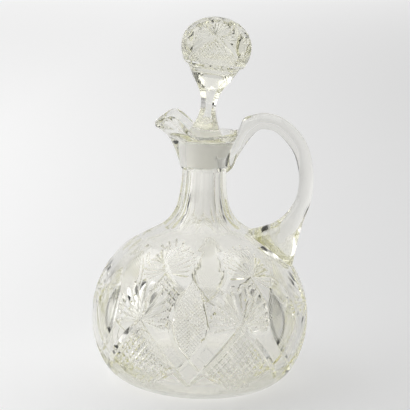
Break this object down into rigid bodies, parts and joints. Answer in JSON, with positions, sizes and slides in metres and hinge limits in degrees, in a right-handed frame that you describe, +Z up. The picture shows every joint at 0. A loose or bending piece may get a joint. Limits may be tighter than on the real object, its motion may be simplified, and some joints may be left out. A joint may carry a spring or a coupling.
{
  "type": "cut glass decanter",
  "caption": "Empty cut-glass jug decanter with a drawn pouring lip, an applied loop handle, a panelled neck and a ground glass stopper",
  "frame": {"origin": "centre of the flat base, on the surface that the decanter stands on", "axes": "+Z up along the neck, +X towards the handle, -X towards the pouring lip, -Y towards the front"},
  "size_m": [0.154, 0.154, 0.2598],
  "materials": {
    "jug_glass": "polished clear crystal with a faint straw tint where thick",
    "stopper_glass": "polished clear crystal, frosted on the ground plug"
  },
  "bodies": {
    "root": {"jug": "jug_glass", "stopper": "stopper_glass"}
  },
  "joints": []
}
